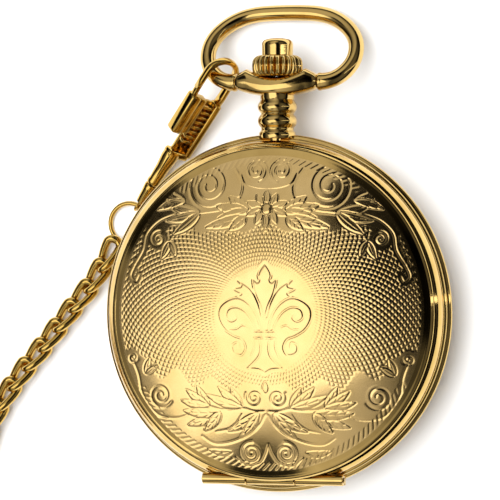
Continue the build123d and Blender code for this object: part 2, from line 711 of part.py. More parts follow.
def hinge_pin():
    pin = across(PIN_R - 0.01, HINGE_LEFT + 0.05, HINGE_RIGHT - 0.05)
    return pin + across(0.45, HINGE_RIGHT + 0.02, HINGE_RIGHT + 0.3) + across(
        PIN_R - 0.01, HINGE_RIGHT - 0.1, HINGE_RIGHT + 0.1)


def main():
    for maker in (
        front_lid, mid_case, dust_cover, bow_collar, bow, crown, push_button,
        clasp_body, clasp_slide, swivel_eye, jump_ring, chain_run, chain_coil, t_bar,
        t_bar_ring, crystal_bezel, crystal, dial, dial_markers, pallet_fork,
        balance_wheel, balance_staff, main_plate, barrel_bridge, train_bridge,
        balance_cock, pallet_bridge, jewels, movement_screws, click, click_spring,
        lid_spring, lid_catch, stem_sleeve, winding_stem, hinge_pin,
    ):
        keep(maker.__name__, maker())
    keep("pendant_tube", pendant())
    keep("back_cover", Pos(0, 0, 2 * MID_Z) * Rot(180, 0, 0) * dome_shell(LAND_R))
    for name, shape in gear_train().items():
        keep(name, shape)
    keep("hairspring", spiral(0.5, 2.3, 7, 0.07, 3.84, 3.94, BALANCE))
    keep("mainspring", spiral(1.6, 6.0, 9, 0.16, 4.7, 5.05, BARREL))
    keep("winding_pinion", flat_star(10, 0.86, 0.2, 14.0, 15.9))
    keep("clutch_wheel", flat_star(10, 0.86, 0.16, 11.0, 13.2))
    keep("hour_hand", hand(9.5, 2.4, 1.7, 7.88, 8.02, 1.6, turn=305) - round_bar(1.1, 7, 9, CENTER))
    minute = hand(14.6, 3.0, 1.3, 8.2, 8.34, 1.1, turn=50) - round_bar(0.62, 7, 9, CENTER)
    keep("minute_hand", minute)
    seconds = hand(4.2, 1.6, 0.35, 7.78, 7.86, 0.5, FOURTH, 160) - round_bar(0.25, 7, 9, FOURTH)
    keep("seconds_hand", seconds)


main()
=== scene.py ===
import math

import bmesh
import bpy
import numpy as np
from mathutils import Matrix, Vector

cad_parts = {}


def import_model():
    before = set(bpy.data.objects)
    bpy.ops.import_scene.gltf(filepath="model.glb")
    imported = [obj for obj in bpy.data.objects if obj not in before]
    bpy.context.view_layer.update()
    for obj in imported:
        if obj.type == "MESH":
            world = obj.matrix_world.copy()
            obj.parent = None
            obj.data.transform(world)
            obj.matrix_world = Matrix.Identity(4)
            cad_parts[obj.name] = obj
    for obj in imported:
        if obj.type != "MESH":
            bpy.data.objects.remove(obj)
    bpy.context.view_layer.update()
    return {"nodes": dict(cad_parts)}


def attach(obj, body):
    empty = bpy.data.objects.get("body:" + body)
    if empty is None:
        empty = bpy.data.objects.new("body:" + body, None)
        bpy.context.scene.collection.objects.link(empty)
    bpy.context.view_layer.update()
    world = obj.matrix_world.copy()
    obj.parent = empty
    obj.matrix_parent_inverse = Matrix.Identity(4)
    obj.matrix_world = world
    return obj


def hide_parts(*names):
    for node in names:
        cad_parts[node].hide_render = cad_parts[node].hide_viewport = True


MM = 0.001
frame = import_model()

# ---- sizes, in millimetres, as in the CAD ------------------------------------------
PARTING_R, CREASE_R, MID_Z = 23.15, 22.0, 6.5
CREASE_Z, APEX_Z, LID_Z = 10.0, 13.3, 7.85
LAND_R = 9.0
HINGE_Y, HINGE_Z, BARREL_R = -22.2, 8.6, 0.75
COLLAR_Y, BOW_TILT, BOW_WIRE = 31.0, 29.0, 2.15
BOW_LINE = [(5.72, 0.0), (7.9, 0.0), (10.45, 3.1), (10.1, 7.3), (6.2, 10.7)]
BOW_TOP = (0.0, 11.1)
CLASP_ROLL, CLASP_SLOPE, CLASP_HEADING = 55.0, 13.0, 233.0
CLASP_HOOK = Vector((-8.15, 32.05, 5.93))
EYE_AT, SHANK_Y = 22.5, 0.1
RING_R, RING_WIRE = 2.78, 0.65
CHAIN_D, LINK_WIRE, LINK_PITCH = 3.2, 1.18, 3.5
LINK_LENGTH, LINK_WIDTH = 5.8, 3.3
CHAIN_ROUTE = [
    (-25.35, 7.85), (-27.0, 4.7), (-30.9, 0.1), (-34.9, -4.9), (-38.5, -9.1),
    (-41.6, -13.7), (-43.6, -18.4),
]
COIL_AT, COIL_LANE_R, COIL_INNER_R, COIL_TURNS = (-64.4, -21.0), 20.35, 12.85, 25 / 12
BAR_Z = 1.15
BAR_OFF = 1.5
BAR_RING_R = 2.1


# ---- mesh helpers ----------------------------------------------------------------
def piece(name, verts, faces, smooth=True):
    """Mesh object from points in millimetres."""
    mesh = bpy.data.meshes.new(name)
    mesh.from_pydata([tuple(c * MM for c in v) for v in verts], [], faces)
    mesh.validate()
    if smooth:
        mesh.shade_smooth()
    ob = bpy.data.objects.new(name, mesh)
    bpy.context.collection.objects.link(ob)
    return ob


def loop_skin(rings, closed_path=False):
    """Skin equal rings of points, with end caps on an open path. Gives points and faces."""
    count = len(rings[0])
    verts = [p for ring in rings for p in ring]
    faces = []
    for i in range(len(rings) if closed_path else len(rings) - 1):
        a, b = i * count, (i + 1) % len(rings) * count
        for j in range(count):
            k = (j + 1) % count
            faces.append((a + j, a + k, b + k, b + j))
    if not closed_path:
        faces.append(tuple(range(count))[::-1])
        faces.append(tuple(range(len(verts) - count, len(verts))))
    return verts, faces


def lathe(name, profile, matrix, segments):
    """Closed outline of (radius, height) turned about Z, then placed by a matrix if given."""
    rings = []
    for i in range(segments):
        a = 2 * math.pi * i / segments
        rings.append([Vector((r * math.cos(a), r * math.sin(a), z)) for r, z in profile])
    verts, faces = loop_skin(rings, closed_path=True)
    if matrix is not None:
        verts = [matrix @ v for v in verts]
    ob = piece(name, verts, faces)
    clean(ob)
    sharpen(ob)
    return ob


def clean(ob):
    """Merge doubled points and turn every face outwards."""
    bm = bmesh.new()
    bm.from_mesh(ob.data)
    bmesh.ops.remove_doubles(bm, verts=bm.verts, dist=1e-7)
    bmesh.ops.dissolve_degenerate(bm, edges=bm.edges, dist=1e-8)
    bmesh.ops.recalc_face_normals(bm, faces=bm.faces)
    bm.to_mesh(ob.data)
    bm.free()


def sharpen(ob, degrees=38):
    """Smooth shading with sharp edges above an angle."""
    ob.data.shade_smooth()
    ob.data.set_sharp_from_angle(angle=math.radians(degrees))


def modify(ob, kind, **values):
    """Add a modifier and apply it."""
    mod = ob.modifiers.new(kind.lower(), kind)
    for key, value in values.items():
        setattr(mod, key, value)
    bpy.context.view_layer.objects.active = ob
    bpy.ops.object.modifier_apply(modifier=mod.name)


def arc(p, q, m, steps):
    """Points from p to q on the circle through m, without the last."""
    (ax, ay), (bx, by), (cx, cy) = p, m, q
    d = 2 * (ax * (by - cy) + bx * (cy - ay) + cx * (ay - by))
    sa, sb, sc = ax * ax + ay * ay, bx * bx + by * by, cx * cx + cy * cy
    ux = (sa * (by - cy) + sb * (cy - ay) + sc * (ay - by)) / d
    uy = (sa * (cx - bx) + sb * (ax - cx) + sc * (bx - ax)) / d
    start, mid, end = (math.atan2(y - uy, x - ux) for x, y in (p, m, q))
    turn = (end - start) % (2 * math.pi)
    if (mid - start) % (2 * math.pi) > turn:
        turn -= 2 * math.pi
    radius = math.hypot(ax - ux, ay - uy)
    angles = [start + turn * i / steps for i in range(steps)]
    return [(ux + radius * math.cos(a), uy + radius * math.sin(a)) for a in angles]


def box(name, low, high, matrix=None, bevel=0.12):
    """Box with rounded edges, in millimetres."""
    verts = [Vector((x, y, z)) for z in (low[2], high[2]) for y in (low[1], high[1])
             for x in (low[0], high[0])]
    faces = [(0, 2, 3, 1), (4, 5, 7, 6), (0, 1, 5, 4), (2, 6, 7, 3), (0, 4, 6, 2), (1, 3, 7, 5)]
    if matrix is not None:
        verts = [matrix @ v for v in verts]
    ob = piece(name, verts, faces, smooth=False)
    if bevel:
        modify(ob, "BEVEL", width=bevel * MM, segments=3, limit_method="NONE")
    sharpen(ob, 50)
    return ob


def swept(name, points, section, matrix=None, closed=False):
    """Skin a section (a function of the share of the length) along smooth points."""
    points = [Vector(p) for p in points]
    n = len(points)
    tangents = []
    for i in range(n):
        a = points[(i - 1) % n] if closed or i else points[0]
        b = points[(i + 1) % n] if closed or i < n - 1 else points[-1]
        tangents.append((b - a).normalized())
    side = tangents[0].orthogonal().normalized()
    if abs(tangents[0].z) < 0.9:
        side = tangents[0].cross(Vector((0, 0, 1))).normalized()
    rings = []
    for i, (p, t) in enumerate(zip(points, tangents)):
        side = (side - t * side.dot(t)).normalized()
        up = side.cross(t)
        ring = section(i / (n - 1))
        rings.append([p + side * x + up * y for x, y in ring])
    verts, faces = loop_skin(rings, closed_path=closed)
    if matrix is not None:
        verts = [matrix @ v for v in verts]
    ob = piece(name, verts, faces)
    clean(ob)
    return ob


def circle(radius, count):
    """Points of a round section."""
    angles = [2 * math.pi * i / count for i in range(count)]
    return [(radius * math.cos(a), radius * math.sin(a)) for a in angles]


def nurbs(points, resolution=12):
    """Points, in millimetres, along a smooth NURBS line with these control points."""
    curve = bpy.data.curves.new("route", "CURVE")
    curve.dimensions = "3D"
    spline = curve.splines.new("NURBS")
    spline.points.add(len(points) - 1)
    for target, p in zip(spline.points, points):
        target.co = (p[0] * MM, p[1] * MM, p[2] * MM, 1)
    spline.order_u = 3
    spline.use_endpoint_u = True
    curve.resolution_u = resolution
    ob = bpy.data.objects.new("route", curve)
    mesh = bpy.data.meshes.new_from_object(ob)
    line = [Vector(v.co) / MM for v in mesh.vertices]
    bpy.data.objects.remove(ob)
    bpy.data.curves.remove(curve)
    bpy.data.meshes.remove(mesh)
    return line


def joined(name, objects):
    """One piece made of several objects."""
    bpy.ops.object.select_all(action="DESELECT")
    for ob in objects:
        ob.select_set(True)
    bpy.context.view_layer.objects.active = objects[0]
    bpy.ops.object.join()
    objects[0].name = name
    objects[0].data.name = name
    return objects[0]


# ---- materials -------------------------------------------------------------------
FINE = 0.00001  # depth of the finest surface marks, in metres


class Nodes:
    """Short way to build a procedural material."""

    def __init__(self, name, **values):
        self.material = bpy.data.materials.new(name)
        self.material.use_nodes = True
        self.tree = self.material.node_tree
        self.shader = self.tree.nodes["Principled BSDF"]
        for key, value in values.items():
            self.shader.inputs[key].default_value = value

    def add(self, kind, links=None, **values):
        node = self.tree.nodes.new(kind)
        for key, value in values.items():
            if key in node.inputs:
                node.inputs[key].default_value = value
            else:
                setattr(node, key, value)
        for key, source in (links or {}).items():
            self.tree.links.new(source, node.inputs[key])
        return node

    def noise(self, scale, detail=3.0):
        links = {"Vector": self.add("ShaderNodeTexCoord").outputs["Object"]}
        return self.add("ShaderNodeTexNoise", links, Scale=scale, Detail=detail)

    def ramp(self, source, stops):
        node = self.add("ShaderNodeValToRGB", {"Fac": source})
        while len(node.color_ramp.elements) < len(stops):
            node.color_ramp.elements.new(0.5)
        for element, (position, color) in zip(node.color_ramp.elements, stops):
            element.position = position
            element.color = color
        return node.outputs["Color"]

    def spread(self, source, low, high):
        """Map a 0 to 1 value onto a range."""
        links = {"Value": source}
        node = self.add("ShaderNodeMapRange", links, **{"To Min": low, "To Max": high})
        return node.outputs["Result"]

    def bump(self, source, strength, distance):
        links = {"Height": source}
        node = self.add("ShaderNodeBump", links, Strength=strength, Distance=distance)
        self.tree.links.new(node.outputs["Normal"], self.shader.inputs["Normal"])

    def link(self, source, name):
        self.tree.links.new(source, self.shader.inputs[name])


def metal(name, dark, light, rough_low, rough_high, scratch=0.15, grain=260):
    """Plated metal with slow colour change, uneven polish and hairline marks."""
    m = Nodes(name, Metallic=1.0)
    slow = m.noise(grain, 4.0)
    m.link(m.ramp(slow.outputs["Fac"], [(0.35, (*dark, 1)), (0.65, (*light, 1))]), "Base Color")
    fine = m.noise(grain * 6, 5.0)
    m.link(m.spread(fine.outputs["Fac"], rough_low, rough_high), "Roughness")
    m.bump(m.noise(grain * 14, 2.0).outputs["Fac"], scratch, FINE)
    return m.material


gold = metal("polished_gold", (0.63, 0.42, 0.135), (0.73, 0.50, 0.17), 0.05, 0.10)
engraved_gold = metal("engraved_gold", (0.77, 0.53, 0.205), (0.84, 0.59, 0.25), 0.10, 0.17)
chain_gold = metal("chain_gold", (0.62, 0.39, 0.09), (0.72, 0.47, 0.12), 0.05, 0.11)
inner_gold = metal("inner_gold", (0.62, 0.40, 0.12), (0.74, 0.50, 0.17), 0.22, 0.36)
gilt = metal("gilt_plate", (0.60, 0.45, 0.20), (0.72, 0.56, 0.28), 0.30, 0.45, 0.3, 900)
brass = metal("wheel_brass", (0.62, 0.42, 0.13), (0.74, 0.52, 0.19), 0.22, 0.34)
steel = metal("polished_steel", (0.42, 0.42, 0.44), (0.58, 0.58, 0.60), 0.16, 0.30)
blued = metal("blued_steel", (0.01, 0.03, 0.16), (0.02, 0.06, 0.28), 0.14, 0.26)


def enamel_material():
    m = Nodes("enamel", **{"Roughness": 0.12, "Coat Weight": 0.6, "Coat Roughness": 0.05})
    cloud = m.noise(120, 3.0)
    stops = [(0.3, (0.80, 0.78, 0.70, 1)), (0.7, (0.88, 0.87, 0.81, 1))]
    m.link(m.ramp(cloud.outputs["Fac"], stops), "Base Color")
    m.bump(m.noise(700, 2.0).outputs["Fac"], 0.05, FINE)
    return m.material


def glass_material():
    m = Nodes("clear_glass", **{"Roughness": 0.02, "IOR": 1.45, "Transmission Weight": 1.0})
    m.link(m.ramp(m.noise(60).outputs["Fac"], [(0.0, (0.97, 0.99, 0.98, 1)), (1.0, (1, 1, 1, 1))]),
           "Base Color")
    return m.material


def ruby_material():
    m = Nodes("ruby", **{"Roughness": 0.1, "Coat Weight": 0.5})
    stops = [(0.3, (0.35, 0.01, 0.05, 1)), (0.7, (0.55, 0.03, 0.10, 1))]
    m.link(m.ramp(m.noise(900).outputs["Fac"], stops), "Base Color")
    return m.material


enamel, glass, ruby = enamel_material(), glass_material(), ruby_material()


def finish_piece(ob, material, body, slot, *nodes):
    """Material, body and the CAD nodes that the piece stands for; the slot argument is not used."""
    ob.data.materials.clear()
    ob.data.materials.append(material)
    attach(ob, body)
    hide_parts(*nodes)
    return ob


# ---- camera and chain ------------------------------------------------------------
CAMERA_LEAN = 15.5  # degrees to the right of straight above
CAMERA_FAR = 500
LANE_POINTS = 24  # route points in each turn of the coil


def camera():
    """Looks almost straight down on the watch, from a little to its right."""
    lean = math.radians(CAMERA_LEAN)
    back = Vector((math.sin(lean), 0, math.cos(lean)))
    right = Vector((math.cos(lean), 0, -math.sin(lean)))
    up = Vector((0, 1, 0))
    aim = Vector((0, 0, MID_Z)) - right * 3.68 + up * 8.46
    data = bpy.data.cameras.new("camera")
    data.sensor_width = 36
    data.lens = 268.2
    data.clip_start, data.clip_end = 0.01, 10
    ob = bpy.data.objects.new("camera", data)
    bpy.context.collection.objects.link(ob)
    ob.matrix_world = Matrix((
        (right.x, up.x, back.x, (aim.x + back.x * CAMERA_FAR) * MM),
        (right.y, up.y, back.y, (aim.y + back.y * CAMERA_FAR) * MM),
        (right.z, up.z, back.z, (aim.z + back.z * CAMERA_FAR) * MM),
        (0, 0, 0, 1),
    ))
    bpy.context.scene.camera = ob


def chain_line():
    """Centre line of the whole chain: over the table, then round the coil inwards."""
    x, y = COIL_AT
    lane_gap = (COIL_LANE_R - COIL_INNER_R) / COIL_TURNS
    points = [Vector((*p, CHAIN_D / 2)) for p in CHAIN_ROUTE]
    steps = round(COIL_TURNS * LANE_POINTS)
    step = 360 / LANE_POINTS
    lanes = [(-step * i, COIL_LANE_R - lane_gap * i / LANE_POINTS) for i in range(1, steps + 1)]
    last = -step * steps
    lanes += [(last - 18, 12.1), (last - 33, 10.7), (last - 46, 9.0), (last - 55, 7.2),
              (last - 60, 5.6)]
    for degrees, radius in lanes:
        a = math.radians(degrees)
        points.append(Vector((x + radius * math.cos(a), y + radius * math.sin(a), CHAIN_D / 2)))
    return nurbs(points)


def resample(line, pitch):
    """Points a pitch apart along a line, and the direction at each."""
    out, step = [], 0.0
    for a, b in zip(line, line[1:]):
        length = (b - a).length
        while step <= length and length:
            out.append((a.lerp(b, step / length), (b - a).normalized()))
            step += pitch
        step -= length
    return out


def curb_link(wire, length, width, twist):
    """Rings of points of one twisted oval link about the origin, its length along X."""
    rings = []
    half, radius = (length - width) / 2, (width - wire) / 2
    count = 36
    centre = []
    for i in range(count):
        a = 2 * math.pi * i / count
        c, s = math.cos(a), math.sin(a)
        x = math.copysign(half, c) * min(1, abs(c) * 3) + radius * c
        centre.append(Vector((x, radius * s, 0)))
    for i, p in enumerate(centre):
        tangent = (centre[(i + 1) % count] - centre[i - 1]).normalized()
        side = tangent.cross(Vector((0, 0, 1)))
        ring = []
        for x, y in circle(wire / 2, 12):
            q = p + side * x + Vector((0, 0, y))
            angle = twist * q.x / (length / 2)
            ring.append(Vector((
                q.x, q.y * math.cos(angle) - q.z * math.sin(angle),
                q.y * math.sin(angle) + q.z * math.cos(angle),
            )))
        rings.append(ring)
    return loop_skin(rings, closed_path=True)


def chain(line):
    """Curb chain as one mesh: twisted links lying flat, each through the next."""
    link_verts, link_faces = curb_link(LINK_WIRE, LINK_LENGTH, LINK_WIDTH, math.radians(48))
    verts, faces = [], []
    roll = Matrix.Rotation(math.radians(24), 3, "X")
    for at, way in resample(line, LINK_PITCH):
        side = Vector((0, 0, 1)).cross(way).normalized()
        frame_of = Matrix((way, side, way.cross(side))).transposed()
        base = len(verts)
        verts += [at + frame_of @ (roll @ v) for v in link_verts]
        faces += [tuple(base + k for k in f) for f in link_faces]
    return piece("chain_links", verts, faces)


camera()
route = chain_line()
links = chain(route)


# ---- T-bar inside the coil -------------------------------------------------------
def t_bar():
    """Turned bar with a ball at each end, and the small eye that its ring goes through."""
    x, y, z = *COIL_AT, BAR_Z
    along_x = Matrix.Translation((x, y + BAR_OFF, z)) @ Matrix.Rotation(math.pi / 2, 4, "Y")
    profile = [(0, -9.7)]
    profile += [(1.13 * math.sin(t * math.pi / 10), -8.6 - 1.13 * math.cos(t * math.pi / 10))
                for t in range(1, 8)]
    profile += [(0.62, -7.5), (0.86, -7.2), (0.86, -6.8), (0.66, -6.5), (0.72, -4.0),
                (0.84, -1.2), (0.84, 1.2), (0.72, 4.0), (0.66, 6.5), (0.86, 6.8), (0.86, 7.2),
                (0.62, 7.5)]
    profile += [(1.13 * math.sin(t * math.pi / 10), 8.6 - 1.13 * math.cos(t * math.pi / 10))
                for t in range(3, 10)]
    profile += [(0, 9.7)]
    bar = lathe("bar", profile, along_x, 40)
    eye_line = [(x, y + 0.55 * math.cos(a) + 0.25, z + 0.55 * math.sin(a) * 0.9)
                for a in [2 * math.pi * i / 24 for i in range(24)]]
    eye = swept("eye", eye_line, lambda t: circle(0.28, 12), closed=True)
    return joined("t_bar_body", [bar, eye])


def wire_ring(name, centre, radius, wire, out, aside, count=64):
    """Round wire ring in the plane of two directions."""
    line = []
    for i in range(count):
        a = 2 * math.pi * i / count
        line.append(centre + out * radius * math.cos(a) + aside * radius * math.sin(a))
    return swept(name, line, lambda t: circle(wire / 2, 16), closed=True)


bar_piece = finish_piece(t_bar(), chain_gold, "case", "chain_gold", "t_bar")
bar_ring = wire_ring(
    "t_bar_link", Vector((COIL_AT[0], COIL_AT[1] - BAR_RING_R, BAR_Z)), BAR_RING_R, 0.7,
    Vector((1, 0, 0)), Vector((0, 1, 0)),
)
finish_piece(bar_ring, chain_gold, "case", "chain_gold", "t_bar_ring")
finish_piece(links, chain_gold, "case", "chain_gold", "chain_run", "chain_coil")


# ---- engraving -------------------------------------------------------------------
CUT = 0.42  # how deep every engraved line is cut
REACH = 2.6  # how far from its line a cut can change the ground
LATTICE_LINES = 126  # curved grooves each way round the lid


def smoothstep(low, high, x):
    """0 below low, 1 above high, and smooth between them."""
    t = np.clip((x - low) / (high - low), 0, 1)
    return t * t * (3 - 2 * t)


class Panel:
    """Height field over engraved ground, in millimetres, mirrored about x = 0."""

    def __init__(self, x, y):
        self.x, self.y = np.abs(x), y
        self.mirror = x < 0
        self.radius = np.hypot(x, y)
        self.angle = np.arctan2(y, x)
        self.height = np.zeros_like(x)
        self.ornament = np.zeros_like(x)

    def near(self, points):
        """Distance to a line of points, and the share of its length there."""
        points = np.array(points, float)
        lengths = np.hypot(*np.diff(points, axis=0).T)
        total = lengths.sum()
        best = np.full_like(self.x, 1e9)
        share = np.zeros_like(self.x)
        low, high = points.min(0) - REACH, points.max(0) + REACH
        mask = (self.x > low[0]) & (self.x < high[0]) & (self.y > low[1]) & (self.y < high[1])
        px, py = self.x[mask], self.y[mask]
        b, sh = best[mask], share[mask]
        done = 0.0
        for (ax, ay), (bx, by), length in zip(points, points[1:], lengths):
            dx, dy = (bx - ax) / length, (by - ay) / length
            t = np.clip((px - ax) * dx + (py - ay) * dy, 0, length)
            ox, oy = px - ax - dx * t, py - ay - dy * t
            d = np.hypot(ox, oy)
            closer = d < b
            b = np.where(closer, d, b)
            sh = np.where(closer, (done + t) / total, sh)
            done += length
        best[mask], share[mask] = b, sh
        return best, share

    def clear(self, distance, margin=0.35):
        """Ground close to an ornament is left plain."""
        self.ornament = np.maximum(self.ornament, 1 - smoothstep(margin * 0.6, margin, distance))

    def groove(self, points, width, depth, smooth=True):
        """Cut line, thin at both ends."""
        line = smooth_line(points) if smooth else points
        d, share = self.near(line)
        fade = 0.45 + 0.55 * np.sqrt(np.clip(4 * share * (1 - share), 0, 1))
        self.height -= CUT * depth * fade * np.exp(-(d / width) ** 2)
        self.clear(d - width, 0.5)

    def leaf(self, points, width, veins=0):
        """Leaf cut in outline along a line, with a midrib and side veins."""
        d, share = self.near(smooth_line(points))
        w = width * np.clip(np.sin(np.pi * share ** 0.8), 0.0, 1) ** 0.75
        inside = np.clip(1 - d / np.maximum(w, 1e-3), 0, 1) * (d < w)
        depth = CUT * 0.09
        self.height = np.where(inside > 0, 0.03 * np.sqrt(inside), self.height)
        self.height -= depth * np.exp(-((d - w) / 0.10) ** 2) * (w > 0.02)
        self.height -= 0.7 * depth * np.exp(-(d / 0.08) ** 2) * (share > 0.02) * (share < 0.8)
        if veins:
            wave = 0.5 + 0.5 * np.cos(2 * np.pi * (veins * share - 0.9 * d / width))
            self.height -= 0.5 * depth * wave ** 6 * (inside > 0.12) * (inside < 0.9)
        self.clear(d - w)

    def dome(self, at, radius, height):
        """Raised round boss."""
        d = np.hypot(self.x - abs(at[0]), self.y - at[1])
        bump = np.sqrt(np.clip(1 - (d / radius) ** 2, 0, 1))
        self.height = np.where(d < radius, height * bump, self.height)
        self.height -= CUT * 0.1 * np.exp(-((d - radius) / 0.12) ** 2)
        self.clear(d - radius)

    def spiral(self, at, radius, turns, start, hand):
        """Scroll line that winds inwards to an eye."""
        count = int(26 * turns) + 8
        points = []
        for i in range(count + 1):
            t = i / count
            r = radius * (1 - t) + 0.16 * radius * t
            a = math.radians(start) + hand * 2 * math.pi * turns * t
            points.append((at[0] + r * math.cos(a), at[1] + r * math.sin(a)))
        d, share = self.near(points)
        w = 0.16 * (1.2 - 0.5 * share)
        self.height -= CUT * 0.11 * np.exp(-(d / w) ** 2)
        ball = np.hypot(self.x - at[0], self.y - at[1])
        ground = 0.05 * (ball < radius) * np.clip(1 - ball / radius, 0, 1)
        self.height += ground
        self.clear(ball - radius, 0.6)


def smooth_line(points):
    """Catmull-Rom line through the points."""
    steps = 6
    p = [points[0], *points, points[-1]]
    out = []
    for a, b, c, d in zip(p, p[1:], p[2:], p[3:]):
        for k in range(steps):
            t = k / steps
            out.append(tuple(
                0.5 * (2 * b[i] + (c[i] - a[i]) * t
                       + (2 * a[i] - 5 * b[i] + 4 * c[i] - d[i]) * t * t
                       + (3 * b[i] - a[i] - 3 * c[i] + d[i]) * t ** 3)
                for i in (0, 1)
            ))
    return [*out, points[-1]]


def fan(panel, base, tip_angles, lengths, width, bend, veins):
    """Leaves spreading from a base point."""
    for degrees, length in zip(tip_angles, lengths):
        a = math.radians(degrees)
        dx, dy = math.cos(a), math.sin(a)
        line = []
        for k in range(4):
            t = k / 3
            off = bend * length * t * t
            along = length * t
            line.append((base[0] + dx * along - dy * off, base[1] + dy * along + dx * off))
        panel.leaf(line, width, veins=veins)


def lattice(panel, amount):
    """Crossing curved grooves like engine turning, over the middle band."""
    swing = np.arcsin(np.clip(panel.radius / 24, 0, 1))
    angle = np.arctan2(panel.y, np.where(panel.mirror, -panel.x, panel.x))
    a = 0.5 + 0.5 * np.cos(LATTICE_LINES * (angle + swing))
    b = 0.5 + 0.5 * np.cos(LATTICE_LINES * (angle - swing))
    return -0.034 * amount * np.maximum(a ** 3, b ** 3)


def palmette(panel):
    """Fleur in the centre: flame leaf, side leaves, C-scrolls, tie and flared base."""
    outline = [(0.0, 6.7), (0.6, 5.9), (0.9, 5.1), (0.75, 4.5), (1.0, 4.2), (1.6, 4.6), (1.5, 3.5),
               (1.1, 2.3), (0.5, 1.0), (0.12, -0.6)]
    panel.groove(outline, 0.15, 0.13)
    panel.groove([(0.35, -0.4), (0.9, 1.6), (2.0, 3.4), (3.7, 4.5)], 0.14, 0.12)
    panel.groove([(3.7, 4.5), (3.2, 3.7), (4.1, 3.3), (3.2, 2.7), (3.9, 2.2)], 0.13, 0.11)
    panel.groove([(0.5, -2.3), (0.9, -0.6), (1.9, 1.1), (3.4, 2.1), (4.9, 1.9), (6.2, 0.9),
                  (6.4, -0.5), (5.6, -2.0), (4.3, -2.9), (3.1, -3.4), (2.6, -4.5), (3.2, -5.5),
                  (4.3, -5.2), (4.5, -4.2), (3.7, -3.8), (3.5, -4.5)], 0.15, 0.13)
    panel.groove([(1.1, -2.3), (1.7, -0.9), (2.6, 0.3), (3.8, 0.9), (5.0, 0.6), (5.3, -0.4),
                  (4.6, -1.0), (3.9, -0.6), (4.2, 0.0)], 0.14, 0.12)
    panel.groove([(2.0, -1.9), (3.0, -1.5), (3.9, -2.0), (4.9, -2.0)], 0.12, 0.09)
    panel.groove([(0.0, -2.3), (1.6, -2.3)], 0.14, 0.12, smooth=False)
    panel.groove([(0.0, -2.75), (1.6, -2.75)], 0.10, 0.09, smooth=False)
    panel.groove([(0.0, -3.2), (1.6, -3.2)], 0.14, 0.12, smooth=False)
    panel.groove([(0.7, -3.3), (0.55, -4.6), (0.9, -5.8), (2.4, -7.3)], 0.14, 0.12)
    panel.groove([(1.5, -3.3), (1.5, -4.6), (2.1, -6.1)], 0.12, 0.09)
    panel.groove([(0.0, -7.9), (0.9, -7.4), (2.4, -7.3)], 0.13, 0.11)
    ball = np.hypot(panel.x / 6.6, (panel.y + 0.6) / 7.4)
    panel.ornament = np.maximum(panel.ornament, 1 - smoothstep(0.75, 1.15, ball))


def top_scrolls(panel):
    """Flower, spirals and leaves above the lattice."""
    panel.spiral((8.3, 17.0), 3.1, 2.4, 235, 1)
    panel.groove([(4.7, 19.3), (3.6, 17.4), (3.9, 15.4), (6.0, 13.7), (9.6, 13.1), (12.6, 12.2)],
                 0.16, 0.12)
    panel.spiral((1.75, 19.0), 1.6, 2.2, 250, -1)
    panel.groove([(0.0, 16.5), (1.6, 16.6), (3.2, 17.2), (3.9, 18.6)], 0.14, 0.11)
    fan(panel, (0.55, 13.9), (68, 22, -22, -66), (2.3, 2.5, 2.5, 2.3), 0.55, 0.0, 0)
    panel.leaf([(0.0, 14.6), (0.0, 15.5), (0.0, 16.5)], 0.5)
    panel.leaf([(0.0, 13.2), (0.0, 12.2), (0.0, 11.2)], 0.5)
    fan(panel, (2.6, 13.7), (28, 2, -20), (3.4, 4.6, 4.4), 0.75, 0.1, 3)
    fan(panel, (2.8, 12.9), (-18, -42), (6.0, 3.0), 0.75, 0.06, 4)
    fan(panel, (9.4, 13.4), (6, -20, -46), (4.8, 5.0, 4.6), 0.62, 0.14, 0)
    fan(panel, (11.6, 15.0), (20, -8), (4.6, 4.2), 0.55, -0.15, 3)
    panel.spiral((15.3, 9.9), 1.05, 1.6, 100, -1)
    panel.groove([(12.9, 13.2), (15.2, 12.3), (16.9, 10.6), (17.4, 8.4), (18.6, 6.4)], 0.15, 0.11)
    panel.groove([(18.6, 6.4), (19.2, 5.0), (18.5, 4.2), (18.0, 5.0)], 0.13, 0.10)
    fan(panel, (13.6, 9.6), (-70, -120), (2.6, 2.2), 0.45, 0.1, 0)
    panel.dome((0, 13.9), 0.78, 0.16)


